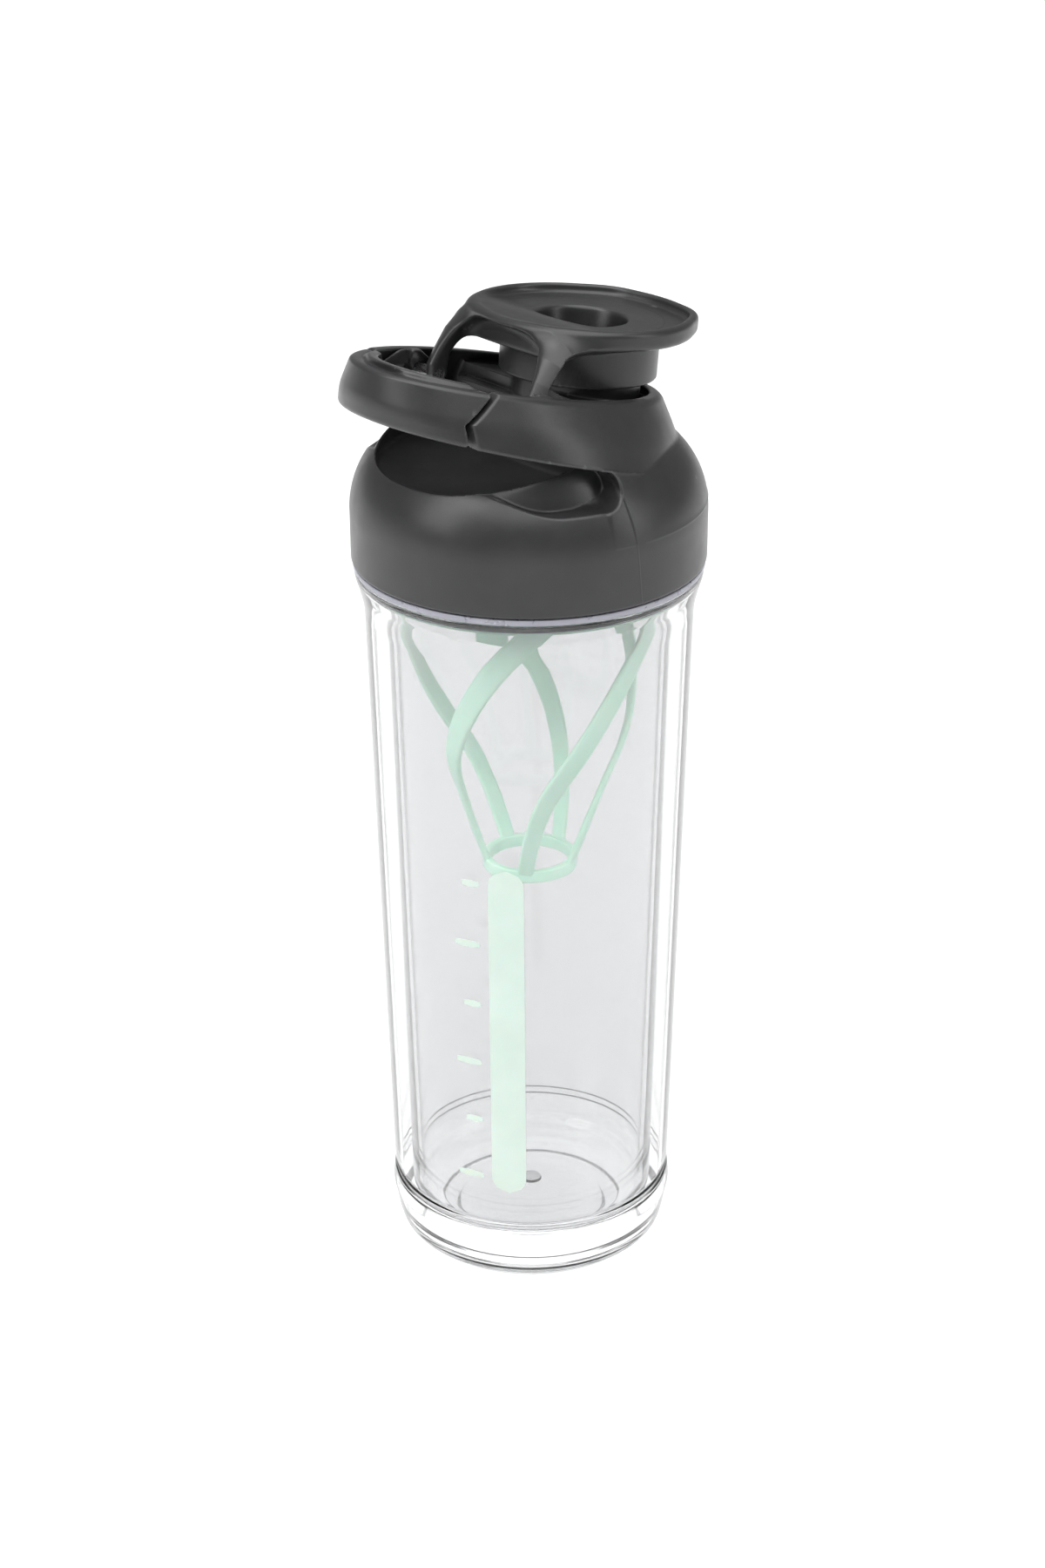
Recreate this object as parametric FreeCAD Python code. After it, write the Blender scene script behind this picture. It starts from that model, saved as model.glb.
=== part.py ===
import FreeCAD, Part
import math
import os

# Double-walled protein shaker bottle with a screw lid, a flip cap, a carry loop and a loose whisk.
# Millimetres. The origin is the centre of the bottom, +Z is up, and +X points to the drinking spout.
# The lid is symmetric about the XZ plane.

V = FreeCAD.Vector

# ---------------------------------------------------------------- driving dimensions
CAP_Z = 198.0            # lower edge of the lid's skirt
CAP_R = 45.0             # outer radius of the lid's skirt
SEAM_Z = 19.0            # where the base cup is joined to the outer shell
SEAM_R = 38.0            # outer radius of the body at that seam
SHOULDER_Z = 184.0       # where the straight taper ends and the shoulder flares out
SHOULDER_R = 42.0
FLARE_R = 44.4           # outer radius of the flare, just under the lid
SHELL_WALL = 2.0
LINER_WALL = 2.0
LINER_R_TOP = 36.0       # outer radius of the liner at the top of its taper
LINER_R_LOW = 32.5
LINER_FLOOR_Z = 9.0      # underside of the liner's floor
NECK_R = 38.4            # outer radius of the threaded neck
NECK_TOP_Z = 211.0
LEDGE_Z = 193.5          # ledge inside the neck that the whisk hangs on

COLLAR_SLOPE = 0.241     # fall of the collar's rim per millimetre of X
BAND_SLOPE = 0.30        # the same for the lower edge of its band
COLLAR_WALL = 3.0
LOOP_WALL = 6.6
LEG_WALL = 2.55          # the loop's legs, inside the collar
LEG_GAP = 0.35           # between the legs and the collar
SPLIT_X = -37.8          # where the carry loop is split from the collar, at the band's lower edge
SPLIT_RISE_X = 7.0       # how far forward the split runs on its way up to the rim
SPLIT_GAP = 1.6
DECK_X = 2.0             # rear edge of the deck
DECK_DROP = 3.0          # depth of the deck below the rim
CORE_HALF = 27.0         # half the width of the core under the deck
CORE_LENGTH = 15.0
CORE_LOW_Z = 214.0
CORE_TOP_Z = 238.0
LID_WALL = 3.0
ROOF_Z = 217.6           # ceiling of the lid's hollow behind the deck
BOWL_X = -10.0           # centre of the finger bowl under the loop
BOWL_R = 30.0
BOWL_RIM_Z = 225.2
BOWL_FLOOR_Z = 221.8

HINGE_X = -14.0
HINGE_Z = 243.2
PIN_R = 1.5
PIN_CLEARANCE = 0.05     # radial, in the flip cap's feet
PIN_START_Y = 18.0
PIN_END_Y = 31.6
ARM_INNER_Y = 17.6
ARM_OUTER_Y = 24.2
SWING_HALF = 24.7        # half the width kept free for the flip cap's arms
FLIP_TILT = 0.10         # fall of the flip cap's plate per millimetre of X
FLIP_Z = 257.2           # height of the plate's top face on the spout's axis
FLIP_THICK = 4.2
STOPPER_DEPTH = 12.0     # from the plate's top face to the stopper's foot
FLIP_CUP_DEPTH = 14.8    # from the plate's top face to the outer cup's lower edge
PLATE_R = 28.2           # rear of the plate, round the spout's axis
PLATE_TIP_X = 45.0       # thumb edge of the plate
PLATE_TAB_HALF = 21.0    # half the width of the thumb tab
PLATE_CORNER_R = 12.0
SPOUT_X = 17.5
SPOUT_R = 16.0           # outer radius of the spout
SPOUT_BORE_R = 13.6
SPOUT_DROP = 5.4         # depth of the spout's rim below the plate's top face
STOPPER_R = 12.8         # at the spout's rim
STOPPER_LOW_R = 10.1     # at its foot, so that it clears the bore as the cap swings open
RIM_HEIGHT = 1.3         # raised edge round the plate
RIM_WIDTH = 2.0
RECESS_R = 11.8          # finger recess in the top of the flip cap
RECESS_LOW_R = 9.0
RECESS_DEPTH = 10.6
FLIP_CUP_R = 19.8        # outer radius of the flip cap's outer cup
FLIP_CUP_BORE_R = 18.2

THREAD_PITCH = 12.0      # lead of the two-start thread
THREAD_DEPTH = 1.3
THREAD_TURNS = 0.42
NECK_THREAD_Z = 202.6
LID_THREAD_Z = 201.6

WHISK_RING_R = 33.6
WHISK_TOP_Z = 197.0
WHISK_LOW_Z = 113.0
WHISK_LOW_R = 12.4
WHISK_RIBS = 5
WHISK_START = -123.0     # direction of the first ribbon's top end, in degrees from +X
# centre line of a ribbon from top to bottom: radius, height, degrees turned so far
WHISK_LINE = [(32.4, 194.0, 0.0), (31.0, 177.0, 25.0), (26.6, 154.0, 51.0), (18.8, 135.0, 70.0), (11.4, 113.5, 85.0)]


WIDE = 60.0              # half the size of cutting blocks that reach past the lid on every side
OVER_Z = 264.0           # above everything


# ---------------------------------------------------------------- helpers
def save(name, shape):
    """Write one sub-part to its STEP file and report its volume."""
    refined = shape.copy().removeSplitter()
    if refined.isValid():
        shape = refined
    shape.exportStep(os.path.join("parts", name + ".step"))
    print(f"{name:18s} solids {len(shape.Solids)}  volume {shape.Volume / 1000:8.2f} cm3  valid {shape.isValid()}")


def revolve(points):
    """Turn a closed outline of (radius, z) points about the Z axis."""
    outline = [V(r, 0, z) for r, z in points]
    face = Part.Face(Part.makePolygon(outline + outline[:1]))
    return face.revolve(V(0, 0, 0), V(0, 0, 1), 360)


def arc_points(centre_r, centre_z, radius, start, stop, count):
    """Points on an arc in the (radius, z) plane, angles in degrees from the +r direction."""
    points = []
    for i in range(count + 1):
        angle = math.radians(start + (stop - start) * i / count)
        points.append((centre_r + radius * math.cos(angle), centre_z + radius * math.sin(angle)))
    return points


def box(x0, y0, z0, x1, y1, z1):
    return Part.makeBox(x1 - x0, y1 - y0, z1 - z0, V(x0, y0, z0))


def cylinder(radius, z0, z1, x=0.0, y=0.0):
    return Part.makeCylinder(radius, z1 - z0, V(x, y, z0), V(0, 0, 1))


def tilted_ellipse(xc, a, b, z_at_zero, slope):
    """Closed wire: the ellipse of half-axes a and b, seen from above, on the plane z = z_at_zero - slope x."""
    angle = math.atan(slope)
    ellipse = Part.Ellipse(V(0, 0, 0), a / math.cos(angle), b)
    edge = ellipse.toShape()
    edge.rotate(V(0, 0, 0), V(0, 1, 0), math.degrees(angle))
    edge.translate(V(xc, 0, z_at_zero - slope * xc))
    return Part.Wire([edge])


def plate_between(profile, y0, y1):
    """Extrude a closed (x, z) outline from y0 to y1."""
    outline = [V(x, y0, z) for x, z in profile]
    face = Part.Face(Part.makePolygon(outline + outline[:1]))
    return face.extrude(V(0, y1 - y0, 0))


def below_plane(z_at_zero, slope, x0=-80.0, x1=80.0, bottom=150.0):
    """A wide block that ends at the plane z = z_at_zero - slope x."""
    profile = [(x0, bottom), (x1, bottom), (x1, z_at_zero - slope * x1), (x0, z_at_zero - slope * x0)]
    return plate_between(profile, -80, 80)


def both_sides(shape):
    """The shape and its mirror image across the XZ plane."""
    return shape.fuse(shape.mirror(V(0, 0, 0), V(0, 1, 0)))


# ---------------------------------------------------------------- the cup
def outer_shell():
    seam_in = SEAM_R - SHELL_WALL
    outline = [(SEAM_R, SEAM_Z), (SHOULDER_R, SHOULDER_Z)]
    outline += [(42.3, 187.0), (43.2, 190.5), (FLARE_R, 194.5), (FLARE_R, 196.0)]
    outline += [(NECK_R - 0.4, 196.0), (NECK_R - 0.4, 194.0), (42.3, 194.0), (41.2, 191.0), (40.3, 187.5)]
    outline += [(SHOULDER_R - SHELL_WALL, SHOULDER_Z), (seam_in, SEAM_Z)]
    return revolve(outline)


def base_cup():
    """Shallow thick cup with a rounded lower edge and a shallow ring groove in its flat underside."""
    outline = [(0, 0.0), (20.0, 0.0), (21.0, 1.0), (25.0, 1.0), (26.0, 0.0), (31.0, 0.0)]
    outline += arc_points(31.0, 6.4, 6.4, -90, -10, 8)[1:]
    outline += [(38.4, 11.5), (38.6, 13.0), (38.0, SEAM_Z)]
    outline += [(SEAM_R - SHELL_WALL, SEAM_Z), (35.6, 8.0), (33.0, 4.8), (0, 4.8)]
    return revolve(outline)


def helix_thread(root_r, tip_r, z0, start_angle):
    """One start of a trapezoid thread between two radii."""
    height = THREAD_PITCH * THREAD_TURNS
    helix = Part.makeHelix(THREAD_PITCH, height, root_r)
    half_root = 1.3
    half_tip = 0.6
    section = [V(root_r, 0, -half_root), V(tip_r, 0, -half_tip), V(tip_r, 0, half_tip), V(root_r, 0, half_root)]
    profile = Part.makePolygon(section + section[:1])
    thread = Part.Wire(helix.Edges).makePipeShell([profile], True, True)
    thread.rotate(V(0, 0, 0), V(0, 0, 1), start_angle)
    thread.translate(V(0, 0, z0))
    return thread


def inner_liner():
    floor = LINER_FLOOR_Z
    low = LINER_R_LOW
    outline = [(0, floor), (low - 6.0, floor)]
    outline += arc_points(low - 6.0, floor + 6.0, 6.0, -90, -4, 6)[1:]
    outline += [(LINER_R_TOP, 188.0), (37.2, 191.0), (37.9, 193.9), (37.9, 196.1), (NECK_R, 197.5)]
    outline += [(NECK_R, NECK_TOP_Z), (NECK_R - 2.4, NECK_TOP_Z), (35.6, 197.0), (35.4, LEDGE_Z + 0.5)]
    outline += [(33.9, LEDGE_Z), (33.9, LEDGE_Z - 2.0)]
    inner_low = low - LINER_WALL
    outline += list(reversed(arc_points(inner_low - 5.0, floor + 7.2, 5.0, -90, -4, 6)))
    outline += [(0, floor + 2.2)]
    body = revolve(outline)
    for start in range(2):
        ridge = helix_thread(NECK_R - 0.3, NECK_R + THREAD_DEPTH, NECK_THREAD_Z, 180.0 * start)
        body = body.fuse(ridge)
    return body


def neck_ring():
    return revolve([(38.6, 196.2), (44.7, 196.2), (44.7, 197.7), (38.6, 197.7)])


# ---------------------------------------------------------------- the lid
DOME_CENTRE_R = 22.4
DOME_CENTRE_Z = 211.0
DOME_R = CAP_R - DOME_CENTRE_R
BAND_LOW_Z = 228.9       # lower edge of the collar's band, at X = 0
CREASE_Z = 236.6
RIM_Z = 244.8
SLOT_END_X = -9.6        # centre and radius of the slot's rounded front end
SLOT_END_Z = 227.0
SLOT_END_R = 4.6


def dome(shrink=0.0, foot=CAP_Z):
    """The lid's outer form without its collar, or the same form offset inwards."""
    radius = DOME_R - shrink
    outline = [(0, foot), (CAP_R - shrink, foot)]
    outline += arc_points(DOME_CENTRE_R, DOME_CENTRE_Z, radius, 0, 90, 16)
    outline += [(0, DOME_CENTRE_Z + radius)]
    return revolve(outline)


def collar_form(shrink=0.0, extend=0.0):
    """The collar as a full cone of tilted ellipses, or the same form offset inwards."""
    low = tilted_ellipse(-4.6, 45.6 - shrink, 38.6 - shrink, BAND_LOW_Z - extend, BAND_SLOPE)
    crease = tilted_ellipse(-5.9, 44.7 - shrink, 35.6 - shrink, CREASE_Z, COLLAR_SLOPE)
    rim = tilted_ellipse(-6.2, 42.2 - shrink, 30.4 - shrink, RIM_Z + extend, COLLAR_SLOPE)
    return Part.makeLoft([low, crease, rim], True, True)


def collar_foot():
    """Wall that carries the collar down to the skirt, in front of the slots."""
    low = tilted_ellipse(-4.6, 45.6, 38.6, BAND_LOW_Z, BAND_SLOPE)
    circle = Part.Wire([Part.makeCircle(CAP_R - 0.9, V(0, 0, 214.5))])
    foot = Part.makeLoft([circle, low], True, True)
    return foot


def slot_cutter():
    """Block between the band of the collar and the dome, behind the slot's rounded front end."""
    top = BAND_LOW_Z
    profile = [(SLOT_END_X, 180.0), (-60.0, 180.0), (-60.0, top + BAND_SLOPE * 60.0)]
    profile += [(SLOT_END_X, top - BAND_SLOPE * SLOT_END_X)]
    block = plate_between(profile, -WIDE, WIDE)
    rod = Part.makeCylinder(SLOT_END_R, 120, V(SLOT_END_X, -60, SLOT_END_Z), V(0, 1, 0))
    return block.fuse(rod)


def slot_groove():
    """Groove in the dome's side that starts at the slot's front end and runs out below the bowl's rim."""
    floor = SLOT_END_Z - SLOT_END_R
    profile = [(SLOT_END_X, floor), (-18.0, floor), (-36.0, 232.0), (-36.0, 250.0), (SLOT_END_X, 250.0)]
    groove = plate_between(profile, -WIDE, WIDE)
    rod = Part.makeCylinder(SLOT_END_R, 120, V(SLOT_END_X, -60, SLOT_END_Z), V(0, 1, 0))
    return groove.fuse(rod).cut(dome(5.0))


def bowl_cutter():
    """Finger bowl under the carry loop, open upwards, with a vertical front wall."""
    outline = [(0, BOWL_FLOOR_Z), (18.0, BOWL_FLOOR_Z + 0.7), (27.0, BOWL_FLOOR_Z + 2.2), (BOWL_R, BOWL_RIM_Z)]
    outline += [(BOWL_R, OVER_Z), (0, OVER_Z)]
    bowl = revolve(outline)
    bowl.translate(V(BOWL_X, 0, 0))
    return bowl.common(box(-WIDE, -WIDE, 200, DECK_X - 3.0, WIDE, OVER_Z))


def split_outline(shift):
    """Zig-zag edge of the collar's split as (x, z) points, from above the rim to below the band."""
    rim = RIM_Z - COLLAR_SLOPE * (SPLIT_X + SPLIT_RISE_X)
    mid = CREASE_Z - COLLAR_SLOPE * SPLIT_X
    low = BAND_LOW_Z - BAND_SLOPE * SPLIT_X
    x = SPLIT_X + shift
    return [(x + SPLIT_RISE_X + 3.0, rim + 6.0), (x + SPLIT_RISE_X, rim), (x, mid), (x, low - 12.0)]


def behind_split(shift):
    """Block that holds everything on the loop's side of the split."""
    edge = split_outline(shift)
    profile = edge + [(-90.0, edge[-1][1]), (-90.0, edge[0][1])]
    return plate_between(profile, -WIDE, WIDE)


def spout_axis_tilt(shape):
    """Lean a shape built upright on the spout's axis, by the flip cap's tilt."""
    shape.rotate(V(SPOUT_X, 0, FLIP_Z), V(0, 1, 0), math.degrees(math.atan(FLIP_TILT)))
    return shape


def hinge_bores(clearance=0.0):
    """Both blind bores on the hinge axis, which end inside the collar's wall."""
    bore = Part.makeCylinder(PIN_R + clearance, PIN_END_Y - 15.0, V(HINGE_X, 15.0, HINGE_Z), V(0, 1, 0))
    return both_sides(bore)


def lid_body():
    front = collar_foot().cut(slot_cutter())
    shell = dome().fuse(front).cut(bowl_cutter()).cut(slot_groove())
    collar = collar_form()
    opening = collar_form(COLLAR_WALL, 4.0)
    deck = collar.common(below_plane(RIM_Z - DECK_DROP, COLLAR_SLOPE))
    deck = deck.common(box(DECK_X, -WIDE, 200, WIDE, WIDE, OVER_Z))
    collar = collar.cut(opening)
    collar = collar.cut(behind_split(SPLIT_GAP))
    body = shell.fuse([collar, deck])
    # core under the deck, between the two slots
    core_x = DECK_X - 3.0
    core = box(core_x, -CORE_HALF, CORE_LOW_Z, core_x + CORE_LENGTH, CORE_HALF, CORE_TOP_Z)
    body = body.fuse(core.common(collar_form(1.2).fuse(dome(0.6))))
    # room under the deck for the drink to reach the spout
    rear = box(-WIDE, -WIDE, 150, WIDE, WIDE, ROOF_Z)
    front_room = box(DECK_X, -WIDE, 150, WIDE, WIDE, OVER_Z)
    hollow = dome(LID_WALL, CAP_Z - 8.0).common(rear.fuse(front_room))
    body = body.cut(hollow)
    seat = revolve([(35.5, 213.7), (39.5, 213.7), (42.4, 216.0), (42.0, 219.0), (35.5, 219.0)])
    body = body.fuse(seat)
    spout = spout_axis_tilt(cylinder(SPOUT_R, FLIP_Z - 26.0, FLIP_Z - SPOUT_DROP, SPOUT_X))
    body = body.fuse(spout)
    body = body.cut(spout_axis_tilt(cylinder(SPOUT_BORE_R, FLIP_Z - 34.0, FLIP_Z, SPOUT_X)))
    # blind bores for the hinge pins
    body = body.cut(hinge_bores())
    # inside thread
    for start in range(2):
        ridge = helix_thread(CAP_R - 2.9, NECK_R + 0.35, LID_THREAD_Z, 180.0 * start + 60.0)
        body = body.fuse(ridge)
    return body


def carry_loop():
    """The rear of the collar, thicker than it, with two legs that reach forward to the hinge pins."""
    form = collar_form()
    thick = form.cut(collar_form(LOOP_WALL, 4.0)).common(behind_split(0.0))
    leg_out = COLLAR_WALL + LEG_GAP
    leg_ring = collar_form(leg_out).cut(collar_form(leg_out + LEG_WALL, 4.0))
    leg_zone = plate_between([(-44.0, 244.5), (-44.0, 262.0), (-30.0, RIM_Z + 6.8), (HINGE_X - 1.0, RIM_Z + 2.2),
                              (HINGE_X + 3.6, 245.0), (HINGE_X + 3.6, 240.0), (HINGE_X, 239.4), (-30.0, 243.0)],
                             -WIDE, WIDE)
    # the swinging arms of the flip cap need room above the legs
    room = plate_between([(HINGE_X - 4.0, OVER_Z), (-33.5, OVER_Z), (-33.0, 253.0), (-28.0, 247.2), (-24.0, 245.4),
                          (HINGE_X - 4.0, 245.4)], -SWING_HALF, SWING_HALF)
    legs = leg_ring.common(leg_zone).cut(room)
    loop = thick.fuse(legs)
    return loop.cut(hinge_bores())


def hinge_pin(side):
    length = PIN_END_Y - PIN_START_Y
    return Part.makeCylinder(PIN_R, length, V(HINGE_X, side * PIN_START_Y, HINGE_Z), V(0, side, 0))


def lid_gasket():
    return revolve([(35.9, NECK_TOP_Z + 0.1), (38.6, NECK_TOP_Z + 0.1), (38.6, 213.4), (35.9, 213.4)])


# ---------------------------------------------------------------- the flip cap
def cone(radius_low, z_low, radius_high, z_high):
    """Cone on the spout's axis, before it is leaned by the flip cap's tilt."""
    return Part.makeCone(radius_low, radius_high, z_high - z_low, V(SPOUT_X, 0, z_low), V(0, 0, 1))


def plate_form(shrink, z0, z1):
    """The plate's outline, or the same outline offset inwards, as a block from z0 to z1."""
    disc = cylinder(PLATE_R - shrink, z0, z1, SPOUT_X)
    corner_x = PLATE_TIP_X - PLATE_CORNER_R
    corner_y = PLATE_TAB_HALF - PLATE_CORNER_R
    half = PLATE_TAB_HALF - shrink
    tab = box(SPOUT_X, -half, z0, corner_x, half, z1)
    tip = box(corner_x - 1.0, -corner_y, z0, PLATE_TIP_X - shrink, corner_y, z1)
    corners = both_sides(cylinder(PLATE_CORNER_R - shrink, z0, z1, corner_x, corner_y))
    return disc.fuse([tab, tip, corners])


def flip_cap():
    """Plate with a deep round recess, an outer cup over the spout, a stopper and two arms down to the hinge."""
    top = FLIP_Z
    low = top - FLIP_THICK
    rim = plate_form(0.0, top - 1.0, top + RIM_HEIGHT).cut(plate_form(RIM_WIDTH, top - 2.0, top + RIM_HEIGHT + 1.0))
    cup = cylinder(FLIP_CUP_R, top - FLIP_CUP_DEPTH, top - 1.0, SPOUT_X)
    cup = cup.cut(cylinder(FLIP_CUP_BORE_R, top - FLIP_CUP_DEPTH - 1.0, low, SPOUT_X))
    foot = top - STOPPER_DEPTH
    stopper = cone(STOPPER_LOW_R, foot, STOPPER_R, top - SPOUT_DROP)
    stopper = stopper.fuse(cylinder(STOPPER_R, top - SPOUT_DROP, top - 1.0, SPOUT_X))
    cap = plate_form(0.0, low, top).fuse([rim, cup, stopper])
    recess = cone(RECESS_LOW_R, top - RECESS_DEPTH, RECESS_R, top).fuse(cylinder(RECESS_R, top, top + 2.0, SPOUT_X))
    cap = cap.cut(recess)
    cap = spout_axis_tilt(cap)
    outline = [(HINGE_X - 3.6, HINGE_Z - 1.0), (HINGE_X - 2.0, HINGE_Z - 3.4), (HINGE_X + 2.0, HINGE_Z - 3.4)]
    outline += [(HINGE_X + 3.6, HINGE_Z - 1.0), (HINGE_X + 5.0, 247.0), (-3.0, 253.6), (4.0, 254.4)]
    outline += [(4.0, 259.4), (-6.0, 260.0), (HINGE_X - 1.0, 253.6), (HINGE_X - 3.6, 247.0)]
    arms = both_sides(plate_between(outline, ARM_INNER_Y, ARM_OUTER_Y))
    return cap.fuse(arms).cut(hinge_bores(PIN_CLEARANCE))


def spout_seal():
    """Flat ring under the plate that closes on the spout's rim."""
    z0 = FLIP_Z - SPOUT_DROP
    z1 = FLIP_Z - FLIP_THICK
    ring = cylinder(SPOUT_R - 0.2, z0, z1, SPOUT_X).cut(cylinder(SPOUT_BORE_R + 0.1, z0, z1, SPOUT_X))
    return spout_axis_tilt(ring)


# ---------------------------------------------------------------- the whisk
def whisk_ring():
    """Ring with a flange that rests on the ledge in the liner's neck."""
    flange_z = LEDGE_Z + 0.8
    return revolve([(WHISK_RING_R - 2.2, LEDGE_Z - 3.0), (WHISK_RING_R - 0.3, LEDGE_Z - 3.0),
                    (WHISK_RING_R - 0.3, flange_z), (WHISK_RING_R + 1.2, flange_z),
                    (WHISK_RING_R + 1.2, WHISK_TOP_Z), (WHISK_RING_R - 2.2, WHISK_TOP_Z)])


def whisk_foot():
    return revolve([(WHISK_LOW_R - 2.0, WHISK_LOW_Z - 2.5), (WHISK_LOW_R, WHISK_LOW_Z - 2.5),
                    (WHISK_LOW_R, WHISK_LOW_Z + 2.5), (WHISK_LOW_R - 2.0, WHISK_LOW_Z + 2.5)])


def whisk_point(index, t):
    """Point on a ribbon's centre line: t runs from 0 at the top ring to 1 at the bottom ring."""
    spans = len(WHISK_LINE) - 1
    k = min(int(t * spans), spans - 1)
    u = t * spans - k
    p0, p1, p2, p3 = [WHISK_LINE[min(max(k + i, 0), spans)] for i in (-1, 0, 1, 2)]
    values = []
    for a, b, c, d in zip(p0, p1, p2, p3):
        values.append(b + 0.5 * u * (c - a + u * (2 * a - 5 * b + 4 * c - d + u * (3 * (b - c) + d - a))))
    radius, height, turned = values
    angle = math.radians(WHISK_START + index * 360.0 / WHISK_RIBS - turned)
    return V(radius * math.cos(angle), radius * math.sin(angle), height)


def whisk_rib(index):
    """Flat ribbon that follows the tulip-shaped whisk and turns about its axis on the way down."""
    stations = 11
    width_top = 6.6
    width_low = 3.8
    thick = 1.5
    step = 0.01
    wires = []
    for i in range(stations):
        t = i / (stations - 1)
        centre = whisk_point(index, t)
        before = whisk_point(index, max(t - step, 0))
        after = whisk_point(index, min(t + step, 1))
        along = (after - before).normalize()
        outward = V(centre.x, centre.y, 0).normalize()
        outward = (outward - along * outward.dot(along)).normalize()
        width = width_top + (width_low - width_top) * t
        across = along.cross(outward) * (width / 2)
        deep = outward * (thick / 2)
        corners = [centre - across - deep, centre + across - deep, centre + across + deep, centre - across + deep]
        wires.append(Part.makePolygon(corners + corners[:1]))
    return Part.makeLoft(wires, True, False)


# ---------------------------------------------------------------- build
def main():
    os.makedirs("parts", exist_ok=True)
    save("outer_shell", outer_shell())
    save("base_cup", base_cup())
    save("inner_liner", inner_liner())
    save("neck_ring", neck_ring())
    save("lid_body", lid_body())
    save("carry_loop", carry_loop())
    save("hinge_pin_right", hinge_pin(-1))
    save("hinge_pin_left", hinge_pin(1))
    save("lid_gasket", lid_gasket())
    save("flip_cap", flip_cap())
    save("spout_seal", spout_seal())
    save("whisk_ring", whisk_ring())
    save("whisk_foot", whisk_foot())
    for index in range(WHISK_RIBS):
        save(f"whisk_rib_{index + 1}", whisk_rib(index))


main()
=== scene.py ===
"""Looks of the double-walled protein shaker bottle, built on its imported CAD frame.

The lid, the carry loop and the flip cap are meshed from smooth distance fields, so that their edges are
rounded and their parts flow into one another. The clear cup and the rings are turned, and the whisk is swept.
Lengths are millimetres until a mesh is made, and metres after that.
"""

import math

import bpy
import numpy as np
from mathutils import Euler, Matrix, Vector


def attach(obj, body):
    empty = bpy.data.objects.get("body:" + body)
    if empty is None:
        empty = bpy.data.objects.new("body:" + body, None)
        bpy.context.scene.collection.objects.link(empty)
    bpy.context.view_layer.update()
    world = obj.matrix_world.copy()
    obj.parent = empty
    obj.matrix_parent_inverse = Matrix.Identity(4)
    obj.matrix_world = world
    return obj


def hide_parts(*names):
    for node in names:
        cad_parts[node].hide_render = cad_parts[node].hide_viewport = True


MM = 0.001

# ---------------------------------------------------------------- driving dimensions
# As in the CAD, apart from the collar's split, the loop's ledge, the bowl's curve, the groove, the rounding
# and the arch of the flip cap's arms, and the plate's tip, edge and dish.
CAP_Z = 198.0
CAP_R = 45.0
DOME_CENTRE_R = 22.4
DOME_CENTRE_Z = 211.0
DOME_R = CAP_R - DOME_CENTRE_R
LID_WALL = 3.0

# Tilted ellipses that make the collar: centre X, half-axes along X and Y, height at X = 0, fall per mm of X
FOOT = (0.0, 44.1, 44.1, 214.5, 0.0)
LOW = (-4.6, 45.6, 38.6, 228.9, 0.30)
CREASE = (-5.9, 44.7, 35.6, 236.6, 0.241)
RIM = (-6.2, 42.2, 30.4, 244.8, 0.241)
LEAN = 0.9               # cosine of the collar wall's mean lean
COLLAR_WALL = 3.0
LOOP_WALL = 6.6
LEDGE_EXTRA = 3.2        # how much wider the ledge inside the loop is near the split
LEDGE_START_X = -43.0    # where it starts to widen
LEDGE_GROWTH_X = 11.0
LEG_GAP = 0.35
LEG_WALL = 2.55
LOOP_TOP_FLAT = 2.2      # level part of the loop's top, before it slopes down inwards
LOOP_TOP_SLOPE = 0.62
DECK_X = 2.0
DECK_DROP = 3.0
CORE_BACK_X = DECK_X - 3.0   # block under the deck, between the two slots
CORE_FRONT_X = DECK_X + 12.0
CORE_HALF = 27.0
CORE_LOW_Z = 214.0
CORE_TOP_Z = 238.0
ROOF_Z = 217.6           # ceiling of the lid's hollow behind the deck
SEAT_R = 35.5            # inner radius of the seat that presses on the gasket
SEAT_Z = 216.4
SEAT_HALF = 2.7
SPLIT_X = -38.9
SPLIT_RISE_X = 8.0
SPLIT_GAP = 1.3
SLOT_X = -9.6
SLOT_Z = 227.0
SLOT_R = 4.6
BOWL_X = -10.0
BOWL_R = 30.0
BOWL_FLOOR_Z = 221.8
BOWL_DEPTH = 3.4
GROOVE_RAMP_X = -24.0    # where the floor of the groove starts to rise towards the back
GROOVE_RAMP_LENGTH = 16.0
GROOVE_RAMP_TOP_Z = 232.0
GROOVE_DEPTH = 4.5
GROOVE_FADE_X = -39.0    # the groove has no depth here
GROOVE_FADE_LENGTH = 18.0

HINGE_X = -14.0
HINGE_Z = 243.2
PIN_R = 1.5
BORE_MIDDLE_Y = 23.5     # middle of each hinge pin's bore
BORE_HALF = 8.1
ARM_INNER_Y = 17.6
ARM_OUTER_Y = 24.2
SWING_HALF = 24.7
HOOD_ROUND = 11.0        # rounding of the arms' outer shoulders
ARCH_TOP_Z = 259.2       # opening between the arms
ARCH_X = -6.0
ARCH_ROUND = 14.0

PLATE_X = 17.5           # the spout's axis crosses the plate's top face here
PLATE_Z = 257.2
PLATE_TILT = math.atan(0.10)
PLATE_R = 28.2
PLATE_TIP = 26.4
PLATE_HALF = 21.0
PLATE_CORNER = 12.0
PLATE_THICK = 4.2
PLATE_RIM = 1.3
RIM_WIDTH = 2.4          # raised edge round the plate
DISH_DEPTH = 1.0         # depth of the plate's dish below its top face
DISH_FADE_U = -20.0      # the dish has no depth here, towards the hinge
DISH_FADE_LENGTH = 17.0
SPOUT_R = 16.0
SPOUT_BORE_R = 13.6
SPOUT_DROP = 5.4         # from the plate's top face down to the spout's rim
SPOUT_FOOT = 26.0        # and down to the spout's lower end
STOPPER_R = 12.8
STOPPER_LOW_R = 10.1
STOPPER_DEPTH = 12.0
RECESS_R = 11.8
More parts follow.
